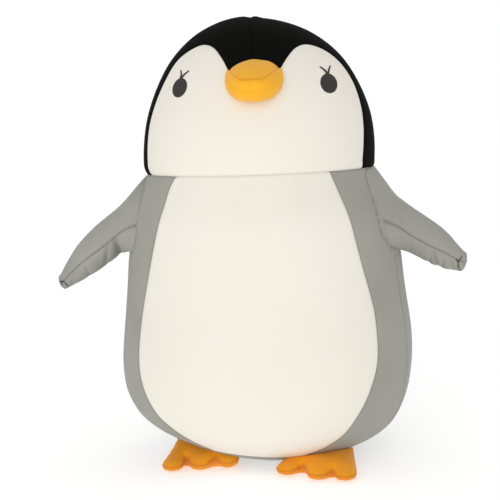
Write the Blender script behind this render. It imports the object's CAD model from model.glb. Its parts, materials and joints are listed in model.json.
import json
import math

import bmesh
import bpy
import numpy as np
from mathutils import Matrix, Vector, geometry, kdtree, noise
from mathutils.bvhtree import BVHTree


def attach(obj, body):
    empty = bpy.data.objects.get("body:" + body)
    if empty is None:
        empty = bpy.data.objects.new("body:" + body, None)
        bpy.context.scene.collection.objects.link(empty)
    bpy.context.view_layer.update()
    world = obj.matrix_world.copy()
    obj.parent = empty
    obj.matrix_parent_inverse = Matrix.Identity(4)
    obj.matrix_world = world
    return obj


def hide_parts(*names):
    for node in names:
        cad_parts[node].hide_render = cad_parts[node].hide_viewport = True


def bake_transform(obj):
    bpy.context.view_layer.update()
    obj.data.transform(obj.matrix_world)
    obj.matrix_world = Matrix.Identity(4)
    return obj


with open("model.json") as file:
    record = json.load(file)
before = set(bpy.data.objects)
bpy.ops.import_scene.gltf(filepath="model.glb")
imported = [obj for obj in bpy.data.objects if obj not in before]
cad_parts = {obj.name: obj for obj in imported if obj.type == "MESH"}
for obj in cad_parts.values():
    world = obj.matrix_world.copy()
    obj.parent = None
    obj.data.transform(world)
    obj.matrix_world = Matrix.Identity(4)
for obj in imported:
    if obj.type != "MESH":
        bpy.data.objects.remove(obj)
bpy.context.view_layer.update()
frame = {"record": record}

# A stuffed penguin: a smooth stretch-cloth cover, sewn from panels, over a bead filling.
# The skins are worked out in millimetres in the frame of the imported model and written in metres.
MM = 0.001
SIDES = (("left", 1), ("right", -1))

# ------------------------------------------------------------------ sizes, millimetres
NECK = 229.5            # level of the neck seam
CROWN = 350.0
DEPTH = 0.86            # front-to-back depth over width
SIDE_SEAM_Y = -29.0
BASE_SEAM = 12.0        # level of the seam round the base panel
CLOTH = 0.9             # drawn thickness of the cover cloth
GRID = 3.0              # size of a skin's triangles
FLAT = 100.0            # the body cover laid flat: millimetres across for a radian round
# Half width and level, from the middle of the base to the neck, and from the neck to the crown.
BODY_PROFILE = [(0, 0), (22, 0), (36, 1.2), (48, 3.2), (60, 6.2), (70, 10.0), (80, 15.0),
                (88, 19.3), (95.4, 24), (105.4, 34), (113.8, 52), (117, 73), (116.8, 93), (111.8, 135),
                (108.2, 172), (104.2, 197), (97.5, 213.5), (92.8, 224), (90.6, 229.5)]
HEAD_PROFILE = [(90.6, 229.5), (91.5, 232.5), (91.7, 249), (88.2, 273), (79.2, 297), (66, 318),
                (47.2, 335), (27, 345), (10, 349.2), (0, 350)]
# The belly panel's edge seen from the front, from the neck down to the base seam, one side
# each. The cover is drawn a little to the toy's own right round its filling.
BELLY_EDGE = {
    "left": [(57.5, 231), (62.5, 216.6), (69.1, 199.4), (77.8, 163), (86.5, 126.2), (88.7, 105),
             (88.6, 85), (83.4, 65.9), (74.9, 48.9), (64.9, 35.2), (53, 25.4), (40, 17), (28, 9)],
    "right": [(59.5, 231), (64.3, 220.8), (70.6, 203.2), (81.1, 167), (90.2, 129.5), (93.7, 110.3),
              (95.1, 91), (92.6, 71.5), (84.6, 52), (77.9, 42.1), (67.4, 33.3), (51.5, 22), (40, 14),
              (32, 9)]}
# The face panel's edge: degrees round from the middle of the face, and level, from the neck up
# over the lobe and down to the point of the hood.
FACE_EDGE = {
    "left": [(64.5, 229.5), (65, 241), (67.5, 261), (70.8, 283), (72.4, 296), (70.2, 309),
             (61, 320.5), (46, 325.2), (35, 322.8), (25, 315.5), (18.8, 307.5), (13.5, 299)],
    "right": [(66.6, 229.5), (67, 241), (68, 262), (67, 282), (64, 303), (60.5, 316.5), (50, 324.6),
              (38, 327.6), (27, 324.8), (18.5, 317.5), (12.5, 307.8), (9, 299)]}
HOOD_POINT = (2.5, 293)


# ------------------------------------------------------------------ curves
def smooth_line(points, step, closed=False):
    """A smooth line through points, as points about a step apart."""
    p = np.array(points, float)
    if closed:
        p = np.vstack([p[-1], p, p[0], p[1]])
    else:
        p = np.vstack([2 * p[0] - p[1], p, 2 * p[-1] - p[-2]])
    out = []
    for a, b, c, d in zip(p[:-3], p[1:-2], p[2:-1], p[3:]):
        # Centripetal Catmull-Rom: no loops where points are unevenly spaced.
        t1 = math.sqrt(np.linalg.norm(b - a))
        t2 = t1 + math.sqrt(np.linalg.norm(c - b))
        t3 = t2 + math.sqrt(np.linalg.norm(d - c))
        count = max(2, int(np.linalg.norm(c - b) / step) + 1)
        t = np.linspace(t1, t2, count, endpoint=False)[:, None]
        a1 = (t1 - t) / t1 * a + t / t1 * b
        a2 = (t2 - t) / (t2 - t1) * b + (t - t1) / (t2 - t1) * c
        a3 = (t3 - t) / (t3 - t2) * c + (t - t2) / (t3 - t2) * d
        b1 = (t2 - t) / t2 * a1 + t / t2 * a2
        b2 = (t3 - t) / (t3 - t1) * a2 + (t - t1) / (t3 - t1) * a3
        out.append((t2 - t) / (t2 - t1) * b1 + (t - t1) / (t2 - t1) * b2)
    out.append(p[-2][None])
    return np.vstack(out)


def even_line(line, step):
    """The same line with its points evenly spaced, close to a step apart."""
    line = np.asarray(line, float)
    run = np.concatenate([[0], np.cumsum(np.linalg.norm(np.diff(line, axis=0), axis=1))])
    at = np.linspace(0, run[-1], max(2, int(round(run[-1] / step)) + 1))
    return np.stack([np.interp(at, run, line[:, i]) for i in range(line.shape[1])], 1)


class Form:
    """A round form: a profile turned into an oval, with places named by angle and run.

    The angle is in radians from the front, towards +X. The run is the distance along the profile.
    """

    def __init__(self, profile):
        self.line = smooth_line(profile, 0.5)
        steps = np.linalg.norm(np.diff(self.line, axis=0), axis=1)
        self.runs = np.concatenate([[0], np.cumsum(steps)])
        self.length = self.runs[-1]

    def half(self, run):
        return np.interp(run, self.runs, self.line[:, 0])

    def level(self, run):
        return np.interp(run, self.runs, self.line[:, 1])

    def run_at(self, level):
        return np.interp(level, self.line[:, 1], self.runs)

    def place(self, angle, run):
        half = self.half(run)
        return np.stack([half * np.sin(angle), -DEPTH * half * np.cos(angle), self.level(run)], -1)

    def normal(self, angle, run):
        turn = 1e-3
        slide = 0.4
        inside = np.clip(run, slide, self.length - slide)
        half = np.maximum(self.half(inside), 0.5)
        round_way = np.stack([half * np.cos(angle), DEPTH * half * np.sin(angle), 0 * angle], -1)
        up_way = self.place(angle, inside + slide) - self.place(angle, inside - slide)
        square = np.cross(round_way, up_way)
        return square / np.maximum(np.linalg.norm(square, axis=-1, keepdims=True), 1e-9)

    def seen_from_front(self, outline):
        """(angle, run) of points given as x and level, on the front of the form."""
        x, level = np.array(outline, float).T
        run = self.run_at(level)
        return np.stack([np.arcsin(np.clip(x / self.half(run), -1, 1)), run], 1)


SETTLE_TOP = 110.0      # the sitting pose shapes the body below this level
UNDERSIDE_TILT = 0.073  # how far the underside drops for each millimetre to the left
BODY_SHIFT = 0.66       # sideways, with the underside slid back by the next value
UNDERSIDE_SLIDE = 4.0
CROWN_DROP = 1.5


def settle(points):
    """How the filled toy sits: its underside is lower on its own left and slides to its right,
    and its crown leans right."""
    moved = np.array(points, float)
    x, level = moved[:, 0], moved[:, 2]
    low = np.clip(1 - level / SETTLE_TOP, 0, 1)
    low = low * low * (3 - 2 * low)
    body_part = np.clip((NECK - level) / 40, 0, 1)
    head_part = np.clip((level - NECK) / (CROWN - NECK), 0, 1)
    moved[:, 2] = np.where(level < SETTLE_TOP, np.maximum(level - UNDERSIDE_TILT * x * low, 0.0),
                            level)
    lean = 3.8 * head_part - 6.3 * head_part ** 3 - 1.0 * np.minimum(head_part * 20, 1)
    moved[:, 0] = x + lean + (BODY_SHIFT - UNDERSIDE_SLIDE * low) * body_part
    # The left half of the crown is filled a little less than the right.
    beside_seam = np.clip((x - 1) / 5, 0, 1) * np.clip((70 - x) / 50, 0, 1)
    moved[:, 2] -= CROWN_DROP * beside_seam * head_part ** 2
    return moved


body = Form(BODY_PROFILE)
head = Form(HEAD_PROFILE)


# ------------------------------------------------------------------ materials
def linear(hex_colour):
    """An sRGB hex colour as the linear colour that a shader takes."""
    value = int(hex_colour, 16)
    channels = [(value >> shift & 255) / 255 for shift in (16, 8, 0)]
    return [c / 12.92 if c < 0.04045 else ((c + 0.055) / 1.055) ** 2.4 for c in channels] + [1]


def add(tree, kind, links=None, values=None, **settings):
    """One node: its settings, its inputs' values, and links from other nodes' outputs."""
    made = tree.nodes.new(kind)
    for name, value in settings.items():
        setattr(made, name, value)
    for name, value in (values or {}).items():
        made.inputs[name].default_value = value
    for name, source in (links or {}).items():
        tree.links.new(source, made.inputs[name])
    return made


def cloth_material(name, colour, dark, rib, rib_depth, roughness, sheen, speck=0.05, gloss=0.3):
    """Knitted stretch cloth: fine upright ribs with courses across them, and a soft fuzz.

    rib is the drawn spacing of the ribs in millimetres, coarser than the real 0.3 mm gauge so
    that it shows, and rib_depth is the height of a rib in millimetres.
    """
    made = bpy.data.materials.new(name)
    made.use_nodes = True
    tree = made.node_tree
    shader = tree.nodes["Principled BSDF"]
    way = add(tree, "ShaderNodeUVMap", uv_map="cloth")
    own = add(tree, "ShaderNodeTexCoord")
    # The UV map is in metres, so a wave's scale is waves a metre over its own factor of 2 pi / 20.
    scale = 1 / (rib * MM) * 0.05 * 2 * math.pi
    ribs = add(tree, "ShaderNodeTexWave", {"Vector": way.outputs["UV"]},
               {"Scale": scale, "Distortion": 1.2, "Detail": 1.0, "Detail Scale": 0.6},
               bands_direction="X")
    courses = add(tree, "ShaderNodeTexWave", {"Vector": way.outputs["UV"]},
                  {"Scale": scale * 1.3, "Distortion": 1.5, "Detail": 1.0, "Detail Scale": 0.6},
                  bands_direction="Y")
    knit = add(tree, "ShaderNodeMath", {0: ribs.outputs["Color"], 1: courses.outputs["Color"]},
               operation="MULTIPLY")
    fuzz = add(tree, "ShaderNodeTexNoise", {"Vector": own.outputs["Object"]},
               {"Scale": 900.0, "Detail": 3.0, "Roughness": 0.7})
    drift = add(tree, "ShaderNodeTexNoise", {"Vector": own.outputs["Object"]},
                {"Scale": 22.0, "Detail": 2.0, "Roughness": 0.5})
    height = add(tree, "ShaderNodeMath", {0: fuzz.outputs["Fac"], 2: knit.outputs[0]},
                 {1: 0.6}, operation="MULTIPLY_ADD")
    bump = add(tree, "ShaderNodeBump", {"Height": height.outputs[0]},
               {"Strength": 1.0, "Distance": rib_depth * MM})
    # Colour: the yarn's own, a little darker between ribs, in slow drifts and at the seams.
    grain = add(tree, "ShaderNodeMapRange", {"Value": height.outputs[0]},
                {"From Min": 0.1, "From Max": 1.3, "To Min": 2.0 * speck, "To Max": 0.0})
    slow = add(tree, "ShaderNodeMapRange", {"Value": drift.outputs["Fac"]},
               {"From Min": 0.35, "From Max": 0.65, "To Min": 0.0, "To Max": speck})
    seam = add(tree, "ShaderNodeAttribute", attribute_name="seam")
    shade = add(tree, "ShaderNodeMath", {0: grain.outputs[0], 1: slow.outputs[0]}, operation="ADD")
    whole = add(tree, "ShaderNodeMath", {0: seam.outputs["Fac"], 2: shade.outputs[0]}, {1: 0.8},
                operation="MULTIPLY_ADD", use_clamp=True)
    tint = add(tree, "ShaderNodeMix", {"Factor": whole.outputs[0]}, data_type="RGBA")
    tint.inputs["A"].default_value = linear(colour)
    tint.inputs["B"].default_value = linear(dark)
    tree.links.new(tint.outputs["Result"], shader.inputs["Base Color"])
    tree.links.new(bump.outputs["Normal"], shader.inputs["Normal"])
    shader.inputs["Roughness"].default_value = roughness
    shader.inputs["IOR"].default_value = 1.46
    shader.inputs["Specular IOR Level"].default_value = gloss
    shader.inputs["Sheen Weight"].default_value = sheen
    shader.inputs["Sheen Roughness"].default_value = 0.45
    return made


def plain_material(name, colour, dark, scale, depth, roughness, sheen=0.0):
    """A fine-grained finish read from the piece's own place: thread, bag cloth, beads, film."""
    made = bpy.data.materials.new(name)
    made.use_nodes = True
    tree = made.node_tree
    shader = tree.nodes["Principled BSDF"]
    own = add(tree, "ShaderNodeTexCoord")
    grain = add(tree, "ShaderNodeTexNoise", {"Vector": own.outputs["Object"]},
                {"Scale": scale, "Detail": 4.0, "Roughness": 0.6})
    tint = add(tree, "ShaderNodeMix", {"Factor": grain.outputs["Fac"]}, data_type="RGBA")
    tint.inputs["A"].default_value = linear(dark)
    tint.inputs["B"].default_value = linear(colour)
    bump = add(tree, "ShaderNodeBump", {"Height": grain.outputs["Fac"]},
               {"Strength": 0.7, "Distance": depth * MM})
    tree.links.new(tint.outputs["Result"], shader.inputs["Base Color"])
    tree.links.new(bump.outputs["Normal"], shader.inputs["Normal"])
    shader.inputs["Roughness"].default_value = roughness
    shader.inputs["IOR"].default_value = 1.5
    shader.inputs["Sheen Weight"].default_value = sheen
    return made


# White tricot with a brushed face: soft, almost no gloss, a warm shade in the folds.
WHITE = cloth_material("white_brushed_tricot", "F1EDE2", "CBC2AE", 1.1, 0.05, 0.9, 0.05, 0.03)
# Black tricot of the same gauge: matte, with almost no gloss.
BLACK = cloth_material("black_brushed_tricot", "0F0F0E", "040404", 1.1, 0.05, 0.95, 0.0, 0.2, 0.08)
# Grey jersey: the ribs show as a fine grain, and the edges catch the light.
GREY = cloth_material("grey_cotton_jersey", "A8A8A0", "66655F", 1.3, 0.10, 0.9, 0.10, 0.10)
# Golden-yellow stretch knit of the beak, and the deeper one of the feet.
BEAK = cloth_material("golden_stretch_knit", "FDBC28", "D87408", 1.0, 0.05, 0.75, 0.15, 0.08)
FEET = cloth_material("orange_stretch_knit", "FFA81A", "A8480A", 1.0, 0.05, 0.75, 0.15, 0.08)
# Heat-pressed print film on cloth: flat dark grey with the cloth's grain in it.
EYE = plain_material("charcoal_print_film", "383432", "2A2827", 2500, 0.02, 0.8)
# Spun polyester thread.
DARK_THREAD = plain_material("black_spun_thread", "3A3A38", "141414", 3000, 0.05, 0.7, 0.2)
# The grey covers' own sewing thread, a shade darker than the cloth.
GREY_THREAD = plain_material("grey_spun_thread", "7C7B75", "55544F", 3000, 0.05, 0.8, 0.1)
# Plain-woven inner bag and loose foam beads, inside the covers.
LINER = plain_material("white_lining_cloth", "E6E4DE", "CFCCC4", 1800, 0.05, 0.9)
BEADS = plain_material("white_foam_beads", "F2F1EC", "D2D0C8", 500, 0.4, 0.6)
# Satin ribbon of the blank label.
SATIN = plain_material("white_satin_ribbon", "F0EFEA", "DEDCD4", 1500, 0.02, 0.35)


# ------------------------------------------------------------------ meshes
def make_piece(name, points, faces, material, uv=None, seam=None, thick=0.0):
    """A smooth-shaded piece from points in millimetres. A thickness goes inwards from them."""
    mesh = bpy.data.meshes.new(name)
    mesh.from_pydata([tuple(p) for p in np.asarray(points) * MM], [], [tuple(f) for f in faces])
    if uv is not None:
        layer = mesh.uv_layers.new(name="cloth")
        corners = np.zeros(len(mesh.loops), int)
        mesh.loops.foreach_get("vertex_index", corners)
        layer.data.foreach_set("uv", (np.asarray(uv) * MM)[corners].astype(np.float32).ravel())
    values = np.zeros(len(points)) if seam is None else seam
    layer = mesh.attributes.new("seam", "FLOAT", "POINT")
    layer.data.foreach_set("value", np.asarray(values, np.float32))
    mesh.materials.append(material)
    mesh.shade_smooth()
    piece = bpy.data.objects.new(name, mesh)
    bpy.context.scene.collection.objects.link(piece)
    if thick:
        thicken(piece, thick)
        piece.data.set_sharp_from_angle(angle=math.radians(55))
    return piece


def thicken(piece, thick):
    """Give a sheet a thickness in millimetres, inwards from its outer face."""
    wall = piece.modifiers.new("wall", "SOLIDIFY")
    wall.thickness = thick * MM
    wall.offset = -1.0
    bake_modifiers(piece)


def bake_modifiers(piece):
    """Replace a piece's mesh by what its modifiers make of it."""
    bpy.context.view_layer.update()
    result = bpy.data.meshes.new_from_object(
        piece.evaluated_get(bpy.context.evaluated_depsgraph_get()))
    piece.modifiers.clear()
    piece.data = result


def kd_of(points):
    tree = kdtree.KDTree(len(points))
    for i, p in enumerate(points):
        tree.insert((*p, 0.0) if len(p) == 2 else p, i)
    tree.balance()
    return tree


def distances(points, tree):
    flat = len(points) and len(points[0]) == 2
    return np.array([tree.find((*p, 0.0) if flat else p)[2] for p in points])


def lumps(points, size, height, seed):
    """A slow unevenness, in millimetres, of a soft filled surface."""
    shift = Vector((seed * 7.3, seed * 3.1, seed * 5.7))
    values = np.array([noise.noise(Vector(p) / size + shift) for p in points])
    # Nothing at the neck seam, where the body's cover and the head's have to meet.
    return height * values * np.minimum(np.abs(points[:, 2] - NECK) / 6, 1)


class Seam:
    """A sewn line on a form: where it runs, and how deep and wide it pulls the cloth in."""

    def __init__(self, form, line, depth, width, shade=0.5):
        self.form = form
        self.line = line                       # (angle, run)
        self.points = form.place(line[:, 0], line[:, 1])
        self.tree = kd_of(even_line(self.points, 0.5))
        self.depth = depth
        self.width = width
        self.shade = shade


def sink(points, seams):
    """How far the cloth is pulled in at each point, and how dark the seam makes it."""
    depth = np.zeros(len(points))
    shade = np.zeros(len(points))
    for seam in seams:
        away = distances(points, seam.tree)
        depth = np.maximum(depth, seam.depth * np.exp(-away / seam.width))
        shade = np.maximum(shade, seam.shade * np.exp(-(away / 0.8) ** 2))
    return depth, shade


NECK_PULL = 0.5         # how far the neck seam draws both covers in, level
NECK_WIDTH = 1.3
SEAM_DEPTH = 0.9        # how far an ordinary seam pulls the cloth in, and over what width
SEAM_WIDTH = 1.6
SEAM_ROWS = (0.8, 1.8, 3.2, 5.0)     # rows of points beside a seam, so that its shape shows
LUMP_SIZE = 55.0
LUMP_HEIGHT = 0.5


def neck_pull(points):
    """The level way that the neck seam draws the cloth in, the same on the body and the head."""
    away = np.abs(points[:, 2] - NECK)
    level = points * [1, 1, 0]
    level /= np.maximum(np.linalg.norm(level, axis=1, keepdims=True), 1e-9)
    return -level * (NECK_PULL * np.exp(-away / NECK_WIDTH))[:, None]


def beside(line, distance):
    """The points of a flat line moved square to it."""
    way = np.gradient(line, axis=0)
    way /= np.maximum(np.linalg.norm(way, axis=1, keepdims=True), 1e-9)
    return line + distance * np.stack([-way[:, 1], way[:, 0]], 1)


def triangulate(lines, free, keep):
    """Triangles over flat points: lines stay as edges, free points fill in where keep allows."""
    points = []
    edges = []
    for line in lines:
        first = len(points)
        points += [tuple(p) for p in line]
        edges += [(i, i + 1) for i in range(first, len(points) - 1)]
    near = kd_of(np.vstack(lines))
    rows = np.vstack([beside(line, side * row) for line in lines for row in SEAM_ROWS
                      for side in (-1, 1)])
    rows = rows[keep(rows)]
    clear = distances(rows, near)
    index = np.where(clear > 0.75 * SEAM_ROWS[0])[0]
    rows = rows[index]
    free = free[distances(free, near) > SEAM_ROWS[-1] + 0.4 * GRID]
    everything = points + [tuple(p) for p in np.vstack([rows, free])]
    verts, _, faces, *_ = geometry.delaunay_2d_cdt(
        [Vector(p) for p in everything], edges, [], 0, 1e-4)
    return np.array([tuple(v) for v in verts]), np.array(faces)


def facing(points, faces, out):
    """The triangles turned so that each looks the way of its vector in out."""
    a, b, c = points[faces[:, 0]], points[faces[:, 1]], points[faces[:, 2]]
    wrong = np.einsum("ij,ij->i", np.cross(b - a, c - a), out) < 0
    turned = faces.copy()
    turned[wrong] = turned[wrong][:, ::-1]
    return turned


def skin(name, form, flat, faces, place_of, seams, material, seed, extra=None):
    """One panel of a form's cover: its points pulled in at seams and gently uneven."""
    used, compact = np.unique(faces, return_inverse=True)
    faces = compact.reshape(-1, 3)
    angle, run = place_of(flat[used])
    points = form.place(angle, run)
    out = form.normal(angle, run)
    depth, shade = sink(points, seams)
    rise = lumps(points, LUMP_SIZE, LUMP_HEIGHT, seed) - depth
    if extra is not None:
        rise = rise + extra(points)
    points = settle(points + out * rise[:, None] + neck_pull(points))
    a, b, c = points[faces[:, 0]], points[faces[:, 1]], points[faces[:, 2]]
    faces = facing(points, faces, out[faces[:, 0]])
    areas = np.linalg.norm(np.cross(b - a, c - a), axis=1)
    faces = faces[areas > 1e-4]
    uv = np.stack([angle * FLAT, run], 1)
    return make_piece(name, points, faces, material, uv, shade, CLOTH)


# ------------------------------------------------------------------ body cover
# The flipper's root seam seen from the side, as y and level: from its front point up along the
# neck seam, down the back and under the arm.
FLIPPER_ROOT = {
    "left": [(-45.3, 192), (-42, 205.4), (-36, 219.5), (-31, 226.5), (-20, 229), (-4, 229.2), (14, 228),
             (28, 216), (34, 195), (31, 178), (20, 168), (0, 163.6), (-21, 164.7), (-37, 170),
             (-44.5, 180)],
    "right": [(-38.5, 191), (-33.5, 206.8), (-26, 218), (-15, 226), (2, 227.8), (18, 224),
              (29, 212), (33, 196), (30, 180), (19, 170.5), (0, 167), (-18, 167.5), (-32, 170),
              (-38.8, 178)]}


def root_ring(side, sign, count):
    """Where a flipper is sewn on the body: (angle, run), from its front point upwards."""
    line = even_line(smooth_line(FLIPPER_ROOT[side], 0.5, closed=True), 0.1)
    y, level = line[np.linspace(0, len(line) - 1, count, endpoint=False).astype(int)].T
    run = body.run_at(level)
    angle = sign * np.arccos(np.clip(-y / (DEPTH * body.half(run)), -1, 1))
    return np.stack([angle, run], 1)


base_run = body.run_at(BASE_SEAM)
neck_run = body.length


def belly_edge(side, sign):
    """The belly panel's edge on one side, laid flat: from the neck seam to the base seam."""
    line = smooth_line(body.seen_from_front(BELLY_EDGE[side]) * [sign * FLAT, 1], 0.5)
    line = even_line(line[line[:, 1] > base_run], 2.0)
    line[0, 1], line[-1, 1] = neck_run, base_run
    return line


belly_lines = [belly_edge(side, sign) for side, sign in SIDES]
runs = np.linspace(base_run, neck_run, 120)
side_angle = np.arccos(-SIDE_SEAM_Y / (DEPTH * body.half(runs)))
side_lines = [np.stack([sign * side_angle * FLAT, runs], 1) for _, sign in SIDES]
ROUND = math.pi * FLAT
RIM_POINTS = 300        # along the neck and the base seam
BACK_POINTS = 110       # up the back seam
across = np.linspace(-ROUND, ROUND, RIM_POINTS)
neck_line = np.stack([across, np.full(RIM_POINTS, neck_run)], 1)
base_line = np.stack([across, np.full(RIM_POINTS, base_run)], 1)
up_back = np.linspace(base_run, neck_run, BACK_POINTS)
back_lines = [np.stack([np.full(BACK_POINTS, s * ROUND), up_back], 1) for s in (-1, 1)]


def body_place(flat):
    return flat[:, 0] / FLAT, flat[:, 1]


def in_body(flat):
    return ((np.abs(flat[:, 0]) < ROUND - 0.3) & (flat[:, 1] > base_run + 0.3)
            & (flat[:, 1] < neck_run - 0.3))


def to_seam(flat_line, depth, width, shade=0.5):
    return Seam(body, flat_line * [1 / FLAT, 1], depth, width, shade)


rings = [np.vstack([r, r[:1]]) for r in (root_ring(side, sign, 120) for side, sign in SIDES)]
body_seams = [to_seam(line, SEAM_DEPTH, SEAM_WIDTH) for line in belly_lines + side_lines]
body_seams += [to_seam(back_lines[0], SEAM_DEPTH, SEAM_WIDTH)]
body_seams += [to_seam(base_line, 0.5, 1.0), to_seam(neck_line, 0.0, 1.0, 0.6)]
body_seams += [Seam(body, ring, SEAM_DEPTH, SEAM_WIDTH, 0.6) for ring in rings]


def neck_folds(points):
    """Short soft creases where the cloth is gathered under the neck seam."""
    angle = np.arctan2(points[:, 0], -points[:, 1] / DEPTH)
    drop = NECK - points[:, 2]
    wave = np.sin(angle * 46 + 3 * np.sin(angle * 5)) * np.sin(angle * 13 + 1.0)
    return 0.28 * wave * np.exp(-((drop - 5) / 5.5) ** 2)


columns = np.arange(-ROUND + 2, ROUND - 2, GRID * 0.85)
rows = np.arange(base_run + 2, neck_run - 1, GRID)
grid = np.array([(x + (GRID * 0.475 if i % 2 else 0), y) for i, y in enumerate(rows)
                 for x in columns])
flat, faces = triangulate([neck_line, base_line] + back_lines + belly_lines + side_lines,
                          grid, in_body)
middle = flat[faces].mean(axis=1)
side_at = np.interp(middle[:, 1], runs, side_angle * FLAT)


def inside(points, outline):
    """Which flat points lie inside a closed outline."""
    found = np.zeros(len(points), bool)
    x, y = points[:, 0], points[:, 1]
    for (x0, y0), (x1, y1) in zip(outline, np.roll(outline, -1, axis=0)):
        if y0 == y1:
            continue
        crosses = (y0 > y) != (y1 > y)
        found ^= crosses & (x < (x1 - x0) * (y - y0) / (y1 - y0) + x0)
    return found


in_belly = inside(middle, np.vstack([belly_lines[1], belly_lines[0][::-1]]))
in_back = np.abs(middle[:, 0]) > side_at
body_skins = {"belly_panel": (faces[in_belly], WHITE)}
for side, sign in SIDES:
    own = middle[:, 0] * sign > 0
    body_skins["side_panel_" + side] = (faces[~in_belly & ~in_back & own], GREY)
    body_skins["back_panel_" + side] = (faces[in_back & own], GREY)
pieces = {}
for node, (panel, material) in body_skins.items():
    pieces[node] = skin(node + "_cover", body, flat, panel, body_place, body_seams, material, 1,
                        neck_folds)

# Base panel: rings of points from the middle of the flat underside out to its seam.
ring_runs = np.concatenate([np.linspace(2, base_run - 5, 22), base_run - np.array(SEAM_ROWS)[::-1],
                            [base_run]])
turns = 150
angles = np.linspace(-math.pi, math.pi, turns, endpoint=False)
flat_points = np.array([(0.0, 0.0)] + [(a, r) for r in ring_runs for a in angles])
base_faces = [(0, 1 + i, 1 + (i + 1) % turns) for i in range(turns)]
for k in range(len(ring_runs) - 1):
    for i in range(turns):
        a = 1 + k * turns + i
        b = 1 + k * turns + (i + 1) % turns
        base_faces += [(a, a + turns, b + turns), (a, b + turns, b)]
base_points = body.place(flat_points[:, 0], flat_points[:, 1])
base_out = body.normal(flat_points[:, 0], np.maximum(flat_points[:, 1], 1.0))
base_depth, base_shade = sink(base_points, body_seams)
base_points = base_points + base_out * (lumps(base_points, LUMP_SIZE, LUMP_HEIGHT, 1)
                                        - base_depth)[:, None]
base_points = settle(base_points)
base_faces = np.array(base_faces)
a, b, c = (base_points[base_faces[:, i]] for i in range(3))
if np.cross(b - a, c - a)[:, 2].sum() > 0:
    base_faces = base_faces[:, ::-1]
pieces["base_panel"] = make_piece("base_panel_cover", base_points, base_faces, GREY,
                                  base_points[:, :2], base_shade, CLOTH)


# ------------------------------------------------------------------ head cover
def head_flat(angle, run):
    """The head cover laid flat, its crown in the middle."""
    reach = head.length - run
    return np.stack([reach * np.sin(angle), -reach * np.cos(angle)], -1)


def head_place(flat):
    reach = np.hypot(flat[:, 0], flat[:, 1])
    return np.arctan2(flat[:, 0], -flat[:, 1]), head.length - reach


def face_edge():
    """The face panel's edge laid flat, from the right side of the neck round to the left."""
    left = [(a, level) for a, level in FACE_EDGE["left"]]
    right = [(-a, level) for a, level in FACE_EDGE["right"]]
    angle, level = np.array(right + [HOOD_POINT] + left[::-1], float).T
    return even_line(smooth_line(head_flat(np.radians(angle), head.run_at(level)), 0.5), 2.0)


face_line = face_edge()
HEAD_RIM_POINTS = 420
rim_turn = np.linspace(-math.pi, math.pi, HEAD_RIM_POINTS)
rim_line = head_flat(rim_turn, np.zeros(HEAD_RIM_POINTS))
brow = head_flat(np.radians(HOOD_POINT[0]), head.run_at(HOOD_POINT[1]))
front_seam = even_line([brow, (0, 0)], 2.0)
back_seam = np.stack([np.zeros(150), np.linspace(0, head.length, 150)], 1)


def in_head(flat):
    return np.hypot(flat[:, 0], flat[:, 1]) < head.length - 0.4


def head_seam(line, depth, width, shade=0.5):
    angle, run = head_place(line)
    return Seam(head, np.stack([angle, run], 1), depth, width, shade)


head_seams = [head_seam(face_line, 0.9, 1.5, 0.4), head_seam(front_seam, 2.0, 2.6),
              head_seam(back_seam, 1.3, 2.2), head_seam(rim_line, 0.0, 1.0, 0.6)]
grid = []
for k, reach in enumerate(np.arange(1.5, head.length - 2, GRID)):
    count = max(6, int(2 * math.pi * head.half(head.length - reach) / GRID))
    turn = (np.arange(count) + 0.5 * (k % 2)) * 2 * math.pi / count
    grid.append(head_flat(turn, np.full(count, head.length - reach)))
flat, faces = triangulate([rim_line, face_line, front_seam, back_seam], np.vstack(grid), in_head)
middle = flat[faces].mean(axis=1)
# The face panel reaches down to the neck, so its outline is closed outside the rim.
chin = head_flat(np.radians(np.linspace(FACE_EDGE["left"][0][0], -FACE_EDGE["right"][0][0], 40)),
                 np.full(40, -20.0))
in_face = inside(middle, np.vstack([face_line, chin]))
head_skins = {"face_panel": (faces[in_face], WHITE)}
for side, sign in SIDES:
    own = (middle[:, 0] - np.where(middle[:, 1] < 0, middle[:, 1] * brow[0] / brow[1], 0)) * sign > 0
    head_skins["hood_panel_" + side] = (faces[~in_face & own], BLACK)
for node, (panel, material) in head_skins.items():
    pieces[node] = skin(node + "_cover", head, flat, panel, head_place, head_seams, material, 1)


def surface_of(*names):
    """A tree of covers to lay things on, in millimetres."""
    points = []
    faces = []
    for name in names:
        mesh = pieces[name].data
        first = len(points)
        points += [v.co / MM for v in mesh.vertices]
        faces += [tuple(first + i for i in p.vertices) for p in mesh.polygons]
    return BVHTree.FromPolygons(points, faces)


def on_surface(tree, x, z, way, lift):
    """The point of a cover met by a ray from the front (way 1) or the back (way -1)."""
    hit, out, _, _ = tree.ray_cast(Vector((x, -200 * way, z)), Vector((0, way, 0)))
    return np.array(hit + (out if out.y * way < 0 else -out) * lift)


# ------------------------------------------------------------------ eyes
EYE_CENTRE = {"left": (57.9, 294.2), "right": (-53.9, 295.5)}
EYE_HALF_WIDTH = 6.0
EYE_HALF_HEIGHT = 7.5
EYE_TILT = {"left": math.radians(20), "right": math.radians(27)}
# A lash's middle and tip from its root: inwards and up for the first, outwards and up for the next.
LASHES = {"left": (((1.7, 2.8), (5.4, 5.8)), ((1.0, 3.0), (2.2, 6.6))),
          "right": (((2.6, 2.8), (6.6, 5.6)), ((-0.1, 3.0), (0.7, 6.6)))}
FILM = 0.35             # how far the film's face stands off the cloth
FILM_THICKNESS = 0.25
EYE_SIDES = 40
EYE_RINGS = 7
face_surface = surface_of("face_panel", "hood_panel_left", "hood_panel_right")


def on_face(x, z, lift):
    """The point of the face straight behind a point seen from the front, lifted off it."""
    return on_surface(face_surface, x, z, 1, lift)


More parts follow.
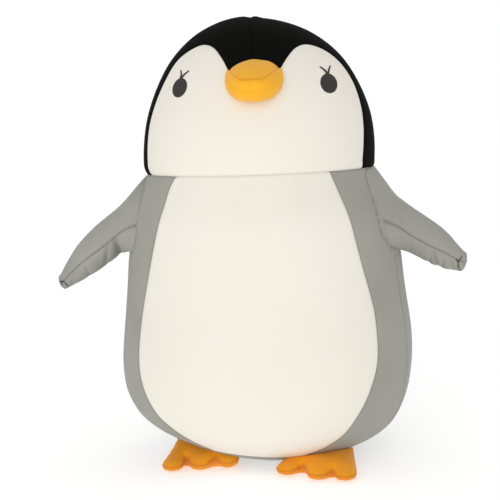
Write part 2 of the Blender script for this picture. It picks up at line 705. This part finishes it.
def strip_on_face(path, widths, lift):
    """A narrow strip that follows a path over the face."""
    path = even_line(smooth_line(path, 0.2), 0.6)
    widths = np.interp(np.linspace(0, 1, len(path)), np.linspace(0, 1, len(widths)), widths)
    left = beside(path, 1.0) - path
    points = []
    faces = []
    for i, (p, way, width) in enumerate(zip(path, left, widths)):
        for k in (-0.5, 0.0, 0.5):
            x, z = p + way * width * k
            points.append(on_face(x, z, lift))
        if i:
            for k in (0, 1):
                a = 3 * (i - 1) + k
                faces.append((a, a + 3, a + 4, a + 1))
    return points, faces


for side, sign in SIDES:
    cx, cz = EYE_CENTRE[side]
    points = [on_face(cx, cz, FILM)]
    faces = []
    for k in range(1, EYE_RINGS + 1):
        for i in range(EYE_SIDES):
            turn = 2 * math.pi * i / EYE_SIDES
            u = EYE_HALF_WIDTH * math.cos(turn) * k / EYE_RINGS
            v = EYE_HALF_HEIGHT * math.sin(turn) * k / EYE_RINGS
            lean = EYE_TILT[side] * -sign
            x = cx + u * math.cos(lean) + v * math.sin(lean)
            z = cz - u * math.sin(lean) + v * math.cos(lean)
            points.append(on_face(x, z, FILM if k < EYE_RINGS else FILM * 0.4))
    for i in range(EYE_SIDES):
        faces.append((0, 1 + i, 1 + (i + 1) % EYE_SIDES))
        for k in range(EYE_RINGS - 1):
            a = 1 + k * EYE_SIDES + i
            b = 1 + k * EYE_SIDES + (i + 1) % EYE_SIDES
            faces.append((a, a + EYE_SIDES, b + EYE_SIDES, b))
    # Two lashes spring from the top of the oval: a curved one inwards and a short upright one.
    root_x = cx - sign * 1.0
    root_z = cz + EYE_HALF_HEIGHT * 0.9
    inner = [(root_x, root_z)] + [(root_x - sign * dx, root_z + dz) for dx, dz in LASHES[side][0]]
    upright = [(root_x + sign * 0.6, root_z)]
    upright += [(root_x + sign * dx, root_z + dz) for dx, dz in LASHES[side][1]]
    for path in (inner, upright):
        more, more_faces = strip_on_face(path, (1.5, 1.2, 0.8), FILM)
        first = len(points)
        points += more
        faces += [tuple(first + i for i in f) for f in more_faces]
    eye = make_piece("eye_%s_print" % side, points, faces, EYE)
    if np.mean([p.normal.y for p in eye.data.polygons]) > 0:
        eye.data.flip_normals()
    thicken(eye, FILM_THICKNESS)
    pieces["eye_" + side] = eye

# ------------------------------------------------------------------ beak
BEAK_X = 4.0            # the beak is sewn a little to the toy's own left of the middle
BEAK_REACH = 27.0       # how far it stands out
CORNER = (17.6, 306.6)  # where the upper and the lower panel meet the face, each side
TOP_LEVEL = 314.2
BEAK_ROOT = [CORNER, (20.2, 302.5), (20.9, 297), (18.8, 290.6), (13.6, 286), (6.5, 283.8), (0, 283.4)]
MOUTH_LEVEL = 298.6
TUCK = 3.0              # the root edges are sewn in behind the face cloth
BEAK_COLUMNS = 81
UPPER_ROWS = 26
LOWER_ROWS = 38


def beak_lines(count):
    """The top root, the mouth seam and the lower root, from the right corner to the left one."""
    across = -np.cos(np.linspace(0, math.pi, count))
    x = across * CORNER[0]
    full = 1 - across ** 2
    face_y = np.array([on_face(v + BEAK_X, 300, 0)[1] for v in x])
    top_z = CORNER[1] + (TOP_LEVEL - CORNER[1]) * full ** 0.75
    top_y = np.array([on_face(v + BEAK_X, z, 0)[1] + TUCK for v, z in zip(x, top_z)])
    rise = np.clip((np.abs(across) - 0.34) / 0.66, 0, 1)
    mouth_z = MOUTH_LEVEL + (CORNER[1] - MOUTH_LEVEL) * rise ** 1.5
    mouth_y = face_y + TUCK * across ** 8 - BEAK_REACH * (1 - np.abs(across) ** 2.6) ** 0.62
    half = smooth_line(BEAK_ROOT, 0.3)
    root = even_line(np.vstack([half * [-1, 1], half[-2::-1]]), 0.2)
    root = root[np.linspace(0, len(root) - 1, count).astype(int)]
    root_y = np.array([on_face(v + BEAK_X, z, 0)[1] + TUCK for v, z in root])
    return (np.stack([x, top_y, top_z], 1), np.stack([x, mouth_y, mouth_z], 1),
            np.stack([root[:, 0], root_y, root[:, 1]], 1))


top_line, mouth_line, root_line = beak_lines(BEAK_COLUMNS)
full = np.sin(np.linspace(0, math.pi, BEAK_COLUMNS))[:, None]


def swelling(start, stop, steps, swell):
    """Rows of points from one line to another, swelling between them like a stuffed panel."""
    share = np.linspace(0, 1, steps)[None, :, None]
    rows = start[:, None] * (1 - share) + stop[:, None] * share
    return rows + swell[:, None] * np.sin(math.pi * share) ** 0.75


def beak_wrinkles(rows, seed):
    """Soft creases beside the mouth seam, gathered most at the corners."""
    uneven = lumps(rows.reshape(-1, 3), 9, 0.8, seed).reshape(rows.shape[:2])
    return rows + uneven[..., None] * np.array([0, -0.8, 0.6])


upper_rows = swelling(top_line, mouth_line, UPPER_ROWS, np.array([0, -1.5, 2.6]) * full)
side_way = -np.cos(np.linspace(0, math.pi, BEAK_COLUMNS))[:, None]
lower_swell = np.concatenate([side_way * 2.2, -3.5 - 5.0 * full, -5.5 * full], axis=1)
lower_rows = swelling(mouth_line, root_line, LOWER_ROWS, lower_swell)
share = np.linspace(0, 1, LOWER_ROWS)[None, :]
crease = np.exp(-((share - 0.26) / 0.09) ** 2) * full
lower_rows = lower_rows + crease[..., None] * np.array([0, 2.0, 0.3])
lip = np.exp(-((share - 0.1) / 0.08) ** 2) * full
lower_rows = lower_rows + lip[..., None] * np.array([0, -0.7, 0])
upper_rows = beak_wrinkles(upper_rows, 3) + [BEAK_X, 0, 0]
lower_rows = beak_wrinkles(lower_rows, 3) + [BEAK_X, 0, 0]


def grid_piece(name, rows, material, seam_columns=(), turn_out=None, thick=CLOTH * 0.8):
    """A sheet of quads over rows of points, with seam shading along chosen columns of points."""
    rows = np.array(rows)
    count, width = rows.shape[:2]
    points = rows.reshape(-1, 3)
    faces = [(i * width + k, (i + 1) * width + k, (i + 1) * width + k + 1, i * width + k + 1)
             for i in range(count - 1) for k in range(width - 1)]
    faces = np.array(faces)
    a, b, c = points[faces[:, 0]], points[faces[:, 1]], points[faces[:, 2]]
    centre = points.mean(axis=0) if turn_out is None else turn_out
    if (np.einsum("ij,ij->i", np.cross(b - a, c - a), a - centre)).sum() < 0:
        faces = faces[:, ::-1]
    shade = np.zeros((count, width))
    for k in seam_columns:
        shade[:, k] = 0.5
    steps = np.linalg.norm(np.diff(rows, axis=0), axis=2).mean(axis=1)
    along = np.concatenate([[0], np.cumsum(steps)])
    steps = np.linalg.norm(np.diff(rows, axis=1), axis=2).mean(axis=0)
    over = np.concatenate([[0], np.cumsum(steps)])
    uv = np.stack(np.meshgrid(along, over, indexing="ij"), -1).reshape(-1, 2)
    return make_piece(name, points, faces, material, uv, shade.ravel(), thick)


beak_middle = np.array([BEAK_X, -60.0, 298.0])
pieces["upper_beak_panel"] = grid_piece("upper_beak_cover", upper_rows, BEAK, (UPPER_ROWS - 1,),
                                        beak_middle)
pieces["lower_beak_panel"] = grid_piece("lower_beak_cover", lower_rows, BEAK, (0,), beak_middle)

# ------------------------------------------------------------------ flippers
# Seen from the front: the upper and the under edge at stations from the root to the tip.
FLIPPER_EDGES = {
    "left": [((93.8, 226), (107.6, 165)), ((105.7, 207.7), (110.9, 163.5)),
             ((117.8, 197.3), (117.1, 159.8)), ((130.1, 188.3), (125, 155.2)),
             ((140, 181), (133.5, 150.8)), ((148.4, 172.8), (141.7, 147.4)),
             ((154.4, 165.4), (149.5, 145.4)), ((159, 160), (156, 144.8))],
    "right": [((93.5, 228), (106.5, 168)), ((105.6, 211.7), (111.2, 168.6)),
              ((115.9, 202.3), (114.7, 165.4)), ((126, 194.8), (121.5, 160.5)),
              ((136.4, 186.6), (131.8, 153.6)), ((146.9, 176.7), (142, 147.7)),
              ((157.7, 162.3), (152.3, 141.8)), ((164.8, 149.9), (160.9, 138.3))]}
FLIPPER_TIP = {"left": (160.6, 152.5), "right": (165.9, 143.2)}
FLIPPER_HALF_DEPTH = [33, 25, 20.5, 18.5, 17, 15, 12.5, 9.5, 6.5]
# Cross wrinkles of the under panel: how far along (0 at the root, 1 at the tip) and how deep.
WRINKLES = {"left": [(0.44, 2.0), (0.53, 2.8), (0.62, 2.4), (0.71, 2.2), (0.81, 1.4)],
            "right": [(0.18, 6.0), (0.29, 3.0), (0.40, 0.8), (0.56, 1.3), (0.72, 1.0)]}
WRINKLE_WIDTH = 0.024
TURN = 72               # points round a flipper
FLIPPER_ROWS = 46
ROOT_ROWS = 9           # rows over which a flipper takes up the shape of its root seam
FLIPPER_Y = -11.0       # how far forwards a flipper's middle stands at the tip
ROOT_BACK = 3.4         # and how much further back at the root
FRONT_SEAM_DROP = 0.19  # radians below the middle, at the root
SEAM_PINCH = 1.0        # how far a flipper's seams pull the cloth in, and over what width
PINCH_WIDTH = 1.8


def flipper_rows(side, sign):
    """Rings of points from the root on the body to the closed tip."""
    count = FLIPPER_ROWS
    edges = [even_line(smooth_line(edge, 1.0), 0.2)
             for edge in np.array(FLIPPER_EDGES[side], float).transpose(1, 0, 2)]
    upper, under = [edge[np.linspace(0, len(edge) - 1, count).astype(int)] for edge in edges]
    tip = np.array(FLIPPER_TIP[side])
    depth = np.interp(np.linspace(0, 8, count), range(9), FLIPPER_HALF_DEPTH)
    turn = np.linspace(0, 2 * math.pi, TURN, endpoint=False)
    ring = root_ring(side, sign, TURN)
    # The root edge is sewn in behind the body's cloth, least at the shoulder.
    sunk = (2.2 - 1.9 * np.clip(np.sin(turn), 0, 1) ** 2)[:, None]
    root = body.place(ring[:, 0], ring[:, 1]) - sunk * body.normal(ring[:, 0], ring[:, 1])
    rows = []
    for k in range(count):
        middle = (upper[k] + under[k]) / 2
        half = (upper[k] - under[k]) / 2
        # The front seam runs a little below the middle, and meets it at the tip.
        low_turn = turn - FRONT_SEAM_DROP * (1 - (k / count) ** 3)
        x = sign * (middle[0] + half[0] * np.sin(low_turn))
        z = middle[1] + half[1] * np.sin(low_turn)
        y = FLIPPER_Y + ROOT_BACK * (1 - k / count) - depth[k] * np.cos(low_turn)
        share = min(1.0, k / ROOT_ROWS)
        share = share * share * (3 - 2 * share)
        rows.append(root * (1 - share) + np.stack([x, y, z], 1) * share)
    last = rows[-1]
    centre = last.mean(axis=0)
    end = np.array([sign * tip[0], centre[1], tip[1]])
    for step in np.linspace(0, math.pi / 2, 9)[1:]:
        rows.append(centre + (end - centre) * math.sin(step)
                    + (last - centre) * max(math.cos(step), 0.02))
    return np.array(rows)


def flipper_panel(side, part, rows):
    """The upper or the under half of a flipper, from its front seam round to its back seam."""
    half = TURN // 2
    order = list(range(0, half + 1)) if part == "upper" else [i % TURN for i in range(half, TURN + 1)]
    grid = rows[:, order]
    name = "flipper_%s_%s_cover" % (part, side)
    return grid_piece(name, grid, GREY, (0, half), rows.mean(axis=(0, 1)))


flipper_grid = {}
for side, sign in SIDES:
    rows = flipper_rows(side, sign)
    middle = rows.mean(axis=1, keepdims=True)
    out = rows - middle
    out /= np.maximum(np.linalg.norm(out, axis=2, keepdims=True), 1e-6)
    turn = np.linspace(0, 2 * math.pi, TURN, endpoint=False)
    from_seam = np.abs(np.sin(turn)) * 14
    pinch = SEAM_PINCH * np.exp(-from_seam / PINCH_WIDTH)
    uneven = lumps(rows.reshape(-1, 3), 16, 0.7, 5 + sign).reshape(rows.shape[:2])
    along = np.linspace(0, 1, len(rows))[:, None]
    # Deepest on the front of the under panel, so that the flipper's lower outline stays calm.
    below = np.clip(-np.sin(turn), 0, 1) ** 0.5 * (0.15 + 0.85 * np.clip(np.cos(turn) * 1.6, 0, 1))
    for at, deep in WRINKLES[side]:
        skew = at + 0.03 * np.cos(turn * 2 + at * 30)[None]
        uneven -= deep * below[None] * np.exp(-((along - skew) / WRINKLE_WIDTH) ** 2)
    fade = np.minimum(np.arange(len(rows)) / 6, 1)[:, None]
    rows = rows + out * ((uneven - pinch[None]) * fade)[:, :, None]
    flipper_grid[side] = rows
    for part in ("upper", "under"):
        pieces["flipper_%s_panel_%s" % (part, side)] = flipper_panel(side, part, rows)


# ------------------------------------------------------------------ feet
FOOT_HEIGHT = 14.0
FOOT_EDGE = 4.4         # level of the seam round a foot
TOE_RADIUS = 8.6
FOOT_STEP = 1.2         # size of a foot's triangles
CLIMB_LENGTH = 16       # the side seams climb over this length towards the back
SOLE_DEPTH = 7.5        # how far the filling pushes the sole down from the seam
SOLE_LEVEL = 0.3
AT_BACK = 0.3           # a point nearer than this to the back edge is on it
BLOW_STEPS = 900        # rounds of the even-out that blows a foot up
# Toe tips and the notches between them, and the two corners at the back, under the body.
FEET_PLAN = {
    "left": {"tips": [(18, -77.5), (42, -87.2), (62.2, -90)], "notches": [(30, -68.2), (53, -78.5)],
             "back": [(23, -40), (68, -36)], "lift": 6.0},
    "right": {"tips": [(-72, -66.5), (-50.8, -63.5), (-29, -61)],
              "notches": [(-63.2, -50), (-39.4, -52)], "back": [(-74, -20), (-24, -38)],
              "lift": 9.0}}


def foot_outline(plan):
    """The outline of a foot seen from above: three rounded toes and a straight back edge."""
    back = np.array(plan["back"], float)
    line = [back[0]]
    for i, tip in enumerate(np.array(plan["tips"], float)):
        centre = tip + [0, TOE_RADIUS]
        start = math.pi if i == 0 else math.radians(200)
        stop = 2 * math.pi if i == 2 else math.radians(340)
        line += [centre + TOE_RADIUS * np.array([math.cos(t), math.sin(t)])
                 for t in np.linspace(start, stop, 9)]
        if i < 2:
            line.append(np.array(plan["notches"][i], float))
    line.append(back[1])
    return np.vstack([smooth_line(line, 0.6), back[:1]])


def pillow(outline, step, back):
    """A flat outline filled with triangles, and how high a stuffed cloth stands at each point.

    It is held down round its edge, apart from the straight back edge, where it stays full.
    """
    closed = np.vstack([outline, outline[:1]])
    edge = even_line(closed, step)[:-1]
    low, high = edge.min(axis=0), edge.max(axis=0)
    xs = np.arange(low[0], high[0], step)
    ys = np.arange(low[1], high[1], step * 0.87)
    inner = np.array([(x + (step / 2 if k % 2 else 0), y) for k, y in enumerate(ys) for x in xs])
    tree = kd_of(edge)
    inner = inner[inside(inner, edge)]
    inner = inner[distances(inner, tree) > 0.6 * step]
    everything = [Vector(p) for p in np.vstack([edge, inner])]
    edges = [(i, (i + 1) % len(edge)) for i in range(len(edge))]
    verts, _, faces, *_ = geometry.delaunay_2d_cdt(everything, edges, [], 0, 1e-4)
    verts = np.array([tuple(v) for v in verts])
    faces = np.array(faces)
    faces = faces[inside(verts[faces].mean(axis=1), edge)]
    # A film blown up over the outline: each point stands a little above its neighbours' mean.
    pairs = np.vstack([faces[:, [0, 1]], faces[:, [1, 2]], faces[:, [2, 0]]])
    pairs = np.unique(np.sort(pairs, axis=1), axis=0)
    way = (back[1] - back[0]) / np.linalg.norm(back[1] - back[0])
    from_back = np.abs((verts - back[0]) @ np.array([-way[1], way[0]]))
    fixed = (distances(verts, tree) < 1e-3) & (from_back > AT_BACK)
    count = np.bincount(pairs.ravel(), minlength=len(verts)).astype(float)
    rise = np.zeros(len(verts))
    for _ in range(BLOW_STEPS):
        total = np.zeros(len(verts))
        np.add.at(total, pairs[:, 0], rise[pairs[:, 1]])
        np.add.at(total, pairs[:, 1], rise[pairs[:, 0]])
        rise = total / np.maximum(count, 1) + step * step / 4
        rise[fixed] = 0
    return verts, faces, np.sqrt(2 * rise), from_back


def underside(x, y):
    """The level of the body's cover over places on the floor."""
    reach = np.hypot(x, y / DEPTH)
    low_part = body.line[:, 1] < 60
    level = np.interp(reach, body.line[low_part, 0], body.line[low_part, 1])
    return settle(np.stack([x, y, level], 1))[:, 2]


def foot_piece(side):
    plan = FEET_PLAN[side]
    verts, faces, rise, from_back = pillow(foot_outline(plan), FOOT_STEP,
                                          np.array(plan["back"], float))
    x, y = verts.T
    height = rise / rise.max()
    # Towards the back the side seams climb to the body's underside.
    climb = plan["lift"] * np.exp(-from_back / CLIMB_LENGTH)
    top = FOOT_EDGE + climb + (FOOT_HEIGHT - FOOT_EDGE) * height
    top += lumps(np.stack([x, y, 0 * x], 1), 11, 0.9, 4) * height
    # The foot tucks under the body's cover at the back.
    top = np.minimum(top, np.maximum(underside(x, y) + 0.6, 3.0))
    sole = np.maximum(FOOT_EDGE + climb - (SOLE_DEPTH + climb) * height ** 0.6, SOLE_LEVEL)
    sole = np.where(from_back < AT_BACK, top, sole)
    shade = 0.5 * np.exp(-rise / 1.0)
    for name, level, up in (("top", top, 1), ("sole", sole, -1)):
        points = np.stack([x, y, level], 1)
        panel = facing(points, faces, np.tile([0.0, 0.0, up], (len(faces), 1)))
        pieces["foot_%s_panel_%s" % (name, side)] = make_piece(
            "foot_%s_%s_cover" % (name, side), points, panel, FEET, verts, shade)


for side, _ in SIDES:
    foot_piece(side)


# ------------------------------------------------------------------ thread
def stitch_tree():
    """Short rounded stitches of thread, evenly spaced along a line of edges."""
    tree = bpy.data.node_groups.new("seam_stitches", "GeometryNodeTree")
    tree.interface.new_socket("Line", in_out="INPUT", socket_type="NodeSocketGeometry")
    for name in ("Pitch", "Length", "Thread"):
        tree.interface.new_socket(name, in_out="INPUT", socket_type="NodeSocketFloat")
    tree.interface.new_socket("Material", in_out="INPUT", socket_type="NodeSocketMaterial")
    tree.interface.new_socket("Stitches", in_out="OUTPUT", socket_type="NodeSocketGeometry")
    given = add(tree, "NodeGroupInput").outputs
    line = add(tree, "GeometryNodeMeshToCurve", {"Mesh": given["Line"]})
    places = add(tree, "GeometryNodeResampleCurve",
                 {"Curve": line.outputs["Curve"], "Length": given["Pitch"]}, mode="LENGTH")
    ball = add(tree, "GeometryNodeMeshUVSphere", {}, {"Segments": 8, "Rings": 5, "Radius": 0.5})
    size = add(tree, "ShaderNodeCombineXYZ",
               {"X": given["Length"], "Y": given["Thread"], "Z": given["Thread"]})
    stitch = add(tree, "GeometryNodeTransform",
                 {"Geometry": ball.outputs["Mesh"], "Scale": size.outputs["Vector"]})
    along = add(tree, "GeometryNodeInputTangent")
    turn = add(tree, "FunctionNodeAlignRotationToVector", {"Vector": along.outputs["Tangent"]},
               axis="X")
    # Hand and machine stitches are never quite equal: 15 percent either way, from a fixed seed.
    vary = add(tree, "FunctionNodeRandomValue", {}, {2: 0.85, 3: 1.15, "Seed": 7},
               data_type="FLOAT")
    placed = add(tree, "GeometryNodeInstanceOnPoints",
                 {"Points": places.outputs["Curve"], "Instance": stitch.outputs["Geometry"],
                  "Rotation": turn.outputs["Rotation"], "Scale": vary.outputs[1]})
    real = add(tree, "GeometryNodeRealizeInstances", {"Geometry": placed.outputs["Instances"]})
    smooth = add(tree, "GeometryNodeSetShadeSmooth", {"Geometry": real.outputs["Geometry"]})
    finished = add(tree, "GeometryNodeSetMaterial",
                   {"Geometry": smooth.outputs["Geometry"], "Material": given["Material"]})
    add(tree, "NodeGroupOutput", {"Stitches": finished.outputs["Geometry"]})
    return tree


STITCHES = stitch_tree()


def stitch_piece(name, lines, pitch, length, thread, material):
    """Stitches along lines of points, all in millimetres, as a plain mesh."""
    points = np.vstack(lines)
    edges = []
    for line in lines:
        first = edges[-1][1] + 1 if edges else 0
        edges += [(first + i, first + i + 1) for i in range(len(line) - 1)]
    mesh = bpy.data.meshes.new(name)
    mesh.from_pydata([tuple(p) for p in points * MM], edges, [])
    piece = bpy.data.objects.new(name, mesh)
    bpy.context.scene.collection.objects.link(piece)
    sewing = piece.modifiers.new("sewing", "NODES")
    sewing.node_group = STITCHES
    values = {"Pitch": pitch * MM, "Length": length * MM, "Thread": thread * MM,
              "Material": material}
    for socket in STITCHES.interface.items_tree:
        if socket.name in values:
            sewing[socket.identifier] = values[socket.name]
    bake_modifiers(piece)
    # One material slot: the primitive brings an empty one of its own.
    piece.data.materials.clear()
    piece.data.materials.append(material)
    piece.data.polygons.foreach_set("material_index", [0] * len(piece.data.polygons))
    return piece


STITCH_PITCH = 4.2
STITCH_LENGTH = 1.9
STITCH_THREAD = 0.5
extras = []             # pieces with no node of their own: piece, the node that they move with
for side, sign in SIDES:
    rows = flipper_grid[side]
    middle = rows.mean(axis=1)
    seams = []
    for column in (0, TURN // 2):
        line = rows[3:-4, column]
        out = line - middle[3:-4]
        out /= np.linalg.norm(out, axis=1, keepdims=True)
        seams.append(even_line(line + 0.05 * out, 0.8))
    sewn = stitch_piece("flipper_seam_stitches_" + side, seams, STITCH_PITCH, STITCH_LENGTH,
                        STITCH_THREAD, GREY_THREAD)
    extras.append((sewn, "flipper_upper_panel_" + side))

# The back is closed last, by hand: slanting stitches across the middle of the back seam.
CLOSING = (62.0, 128.0)             # levels of the lowest and the highest closing stitch
CLOSING_PITCH = 5.0
back_surface = surface_of("back_panel_left", "back_panel_right")


def back_middle(level):
    """How far sideways the back's middle seam stands at a level."""
    return settle(np.array([[0.0, 80.0, level]]))[0, 0]


ladder = []
for level in np.arange(CLOSING[0], CLOSING[1], CLOSING_PITCH):
    x = back_middle(level)
    ladder.append(np.array([on_surface(back_surface, x + dx, level + dx * 0.4, -1, 0.1)
                            for dx in np.linspace(-1.8, 1.8, 5)]))
extras.append((stitch_piece("back_closing_stitches", ladder, 3.6, 3.4, 0.5, GREY_THREAD),
               "back_panel_left"))


def tube(path, radius, sides=8):
    """A closed round thread along a path."""
    path = even_line(smooth_line(path, 0.2), 0.4)
    ahead = np.gradient(path, axis=0)
    ahead /= np.linalg.norm(ahead, axis=1, keepdims=True)
    over = np.cross(ahead, [0.0, 1.0, 0.0])
    over /= np.linalg.norm(over, axis=1, keepdims=True)
    other = np.cross(ahead, over)
    turn = np.linspace(0, 2 * math.pi, sides, endpoint=False)
    taper = np.ones(len(path))
    taper[[0, -1]] = 0.6
    points = [p + radius * t * (math.cos(a) * u + math.sin(a) * v)
              for p, u, v, t in zip(path, over, other, taper) for a in turn]
    faces = [tuple(range(sides))[::-1], tuple(len(points) - sides + i for i in range(sides))]
    for i in range(len(path) - 1):
        for k in range(sides):
            a = i * sides + k
            b = i * sides + (k + 1) % sides
            faces.append((a, b, b + sides, a + sides))
    return points, faces


def joined(parts):
    """Several parts' points and faces as one."""
    points = []
    faces = []
    for more, more_faces in parts:
        faces += [tuple(len(points) + i for i in face) for face in more_faces]
        points += list(more)
    return points, faces


def outward(piece):
    """Turn a closed piece's faces outwards."""
    shape = bmesh.new()
    shape.from_mesh(piece.data)
    bmesh.ops.recalc_face_normals(shape, faces=shape.faces)
    shape.to_mesh(piece.data)
    shape.free()


# A few dark stitches gather each tip: places seen from the front, one list for each thread.
TACKS = {"left": [[(156.4, 157.1), (154.6, 154.8), (153.2, 152.3)],
                  [(151.6, 155.4), (153.2, 152.3), (153.6, 149.4), (155.2, 146.2)]],
         "right": [[(-164.4, 145.0), (-162.4, 145.5), (-160.2, 144.8)],
                   [(-160.6, 145.4), (-159.2, 142.9), (-158.4, 140.6)],
                   [(-162.6, 144.8), (-162.7, 141.9)]]}
TACK_RADIUS = 0.42
for side, _ in SIDES:
    tip_surface = surface_of("flipper_upper_panel_" + side, "flipper_under_panel_" + side)
    threads = [tube([on_surface(tip_surface, x, z, 1, 0.15) for x, z in path], TACK_RADIUS)
               for path in TACKS[side]]
    tack = make_piece("flipper_tip_tack_%s_thread" % side, *joined(threads), DARK_THREAD)
    outward(tack)
    pieces["flipper_tip_tack_" + side] = tack

# ------------------------------------------------------------------ inside pieces and the label
LINER_INSET = 4.5
LINER_CLOTH = 0.6
FILL_INSET = 5.8
BAG_SIDES = 96
BAG_RINGS = 60


def inner_piece(name, form, inset, material, thick=0.0):
    """A closed round bag or filling inside a cover: the cover's form drawn in by an inset."""
    sides = BAG_SIDES
    angles = np.linspace(-math.pi, math.pi, sides, endpoint=False)
    rings = []
    for run in np.linspace(4 * inset, form.length - inset, BAG_RINGS):
        ring = form.place(angles, np.full(sides, run))
        ring -= inset * form.normal(angles, np.full(sides, run))
        rings.append(ring)
    rows = np.array(rings)
    first, last = rows[0].mean(axis=0), rows[-1].mean(axis=0)
    points = settle(np.vstack([rows.reshape(-1, 3), first, last]))
    count = len(rows) * sides
    faces = []
    for k in range(sides):
        after = (k + 1) % sides
        faces.append((count, after, k))
        faces.append((count + 1, count - sides + k, count - sides + after))
        for i in range(len(rows) - 1):
            faces.append((i * sides + k, i * sides + after, (i + 1) * sides + after,
                          (i + 1) * sides + k))
    piece = make_piece(name, points, faces, material)
    outward(piece)
    if thick:
        thicken(piece, thick)
    return piece


for part, form in (("body", body), ("head", head)):
    pieces[part + "_liner_bag"] = inner_piece(part + "_lining", form, LINER_INSET, LINER,
                                              LINER_CLOTH)
    pieces[part + "_bead_filling"] = inner_piece(part + "_beads", form, FILL_INSET, BEADS)

# The blank label is caught in the back seam and lies on the back, its free edge a little proud.
LABEL_WIDTH = 20.0
LABEL_GAP = 0.6         # from the middle of the back seam
LABEL_LEVELS = (30.0, 45.0)
label_rows = []
for z in np.linspace(LABEL_LEVELS[0], LABEL_LEVELS[1], 16):
    row = []
    for share in np.linspace(0, 1, 21):
        x = back_middle(z) + LABEL_GAP + share * LABEL_WIDTH
        row.append(on_surface(back_surface, x, z, -1, 0.3 + 1.1 * share ** 2))
    label_rows.append(row)
pieces["care_label"] = grid_piece("care_label_ribbon", label_rows, SATIN, (),
                                  np.array([0.0, 0.0, 40.0]), 0.4)

# ------------------------------------------------------------------ stage, light, camera
PAPER_HALF = 3000       # half the width of the paper, and how far it reaches forwards
PAPER_BEND = 900        # radius of its bend, and how far behind the toy the bend starts
PAPER_TOP = 3600
PAPER_LEVEL = -0.2
PAPER_GLOW = 0.48
ROOM_LIGHT = 0.62
cove = []
for x in (-PAPER_HALF, PAPER_HALF):
    line = [(x, -PAPER_HALF, PAPER_LEVEL), (x, PAPER_BEND, PAPER_LEVEL)]
    line += [(x, PAPER_BEND * (1 + math.sin(t)), PAPER_BEND * (1 - math.cos(t)) + PAPER_LEVEL)
             for t in np.linspace(0, math.pi / 2, 24)[1:]]
    line += [(x, 2 * PAPER_BEND, PAPER_TOP)]
    cove.append(line)
STAGE = plain_material("pale_paper_sweep", "D8D8D8", "D4D4D4", 4, 0.01, 0.9)
# Lit through from behind, so that the paper stays white and shadows on it are faint.
paper = STAGE.node_tree.nodes["Principled BSDF"]
paper.inputs["Emission Color"].default_value = (1, 1, 1, 1)
paper.inputs["Emission Strength"].default_value = PAPER_GLOW
backdrop = grid_piece("paper_sweep", cove, STAGE, (), np.array([0, -500, -4000]), 0)

world = bpy.data.worlds.new("studio")
bpy.context.scene.world = world
world.use_nodes = True
room = world.node_tree.nodes["Background"]
room.inputs["Color"].default_value = (1, 1, 1, 1)
room.inputs["Strength"].default_value = ROOM_LIGHT


def softbox(name, place, aim, size, power):
    light = bpy.data.lights.new(name, "AREA")
    light.shape = "RECTANGLE"
    light.size, light.size_y = size
    light.energy = power
    lamp = bpy.data.objects.new(name, light)
    lamp.location = place
    lamp.rotation_euler = (Vector(aim) - Vector(place)).to_track_quat("-Z", "Y").to_euler()
    bpy.context.scene.collection.objects.link(lamp)


softbox("front_softbox", (-0.25, -1.9, 0.75), (0, 0, 0.2), (1.6, 1.2), 10.8)
softbox("top_softbox", (0.2, -0.3, 2.2), (0, 0, 0), (2.0, 2.0), 1.5)
bpy.context.scene.view_settings.view_transform = "Standard"

CAMERA_TURN = math.radians(5.0)
CAMERA_AWAY = 0.900
CAMERA_HEIGHT = 0.284
CAMERA_ROLL = math.radians(-2.3)
AIM_SIDE = -0.0107
AIM_LEVEL = 0.1645
SENSOR_WIDTH = 36.0     # millimetres
LENS_LENGTH = 81.072
place = Vector((CAMERA_AWAY * math.sin(CAMERA_TURN), -CAMERA_AWAY * math.cos(CAMERA_TURN),
                CAMERA_HEIGHT))
aim = Vector((AIM_SIDE * math.cos(CAMERA_TURN), AIM_SIDE * math.sin(CAMERA_TURN), AIM_LEVEL))
ahead = (aim - place).normalized()
right = ahead.cross(Vector((0, 0, 1))).normalized()
up = right.cross(ahead)
rolled_right = math.cos(CAMERA_ROLL) * right + math.sin(CAMERA_ROLL) * up
rolled_up = -math.sin(CAMERA_ROLL) * right + math.cos(CAMERA_ROLL) * up
lens = bpy.data.cameras.new("camera")
lens.sensor_width = SENSOR_WIDTH
lens.lens = LENS_LENGTH
camera = bpy.data.objects.new("camera", lens)
turn = Matrix((rolled_right, rolled_up, -ahead)).transposed()
camera.matrix_world = Matrix.Translation(place) @ turn.to_4x4()
bpy.context.scene.collection.objects.link(camera)
bpy.context.scene.camera = camera

# ------------------------------------------------------------------ what each piece moves with
node_body = {node: name for name, nodes in frame["record"]["behaviour"]["bodies"].items()
             for node in nodes}


def move_with(piece, node):
    """A cover bends across its joint; everything else moves with its node's body."""
    owner = node_body[node]
    if node in ("face_panel", "hood_panel_left", "hood_panel_right"):
        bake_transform(piece)
    elif node.startswith("flipper") and "tack" not in node:
        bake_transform(piece)
    elif node.startswith("foot"):
        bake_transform(piece)
    else:
        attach(piece, owner)


for node, piece in pieces.items():
    move_with(piece, node)
    also = []
    if node.startswith(("flipper_upper", "foot_top")):
        also = [node.replace("upper_panel", "filling").replace("top_panel", "filling")]
    if node == "lower_beak_panel":
        also = ["beak_filling"]
    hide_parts(node, *also)
    material = piece.data.materials[0]
for piece, node in extras:
    move_with(piece, node)
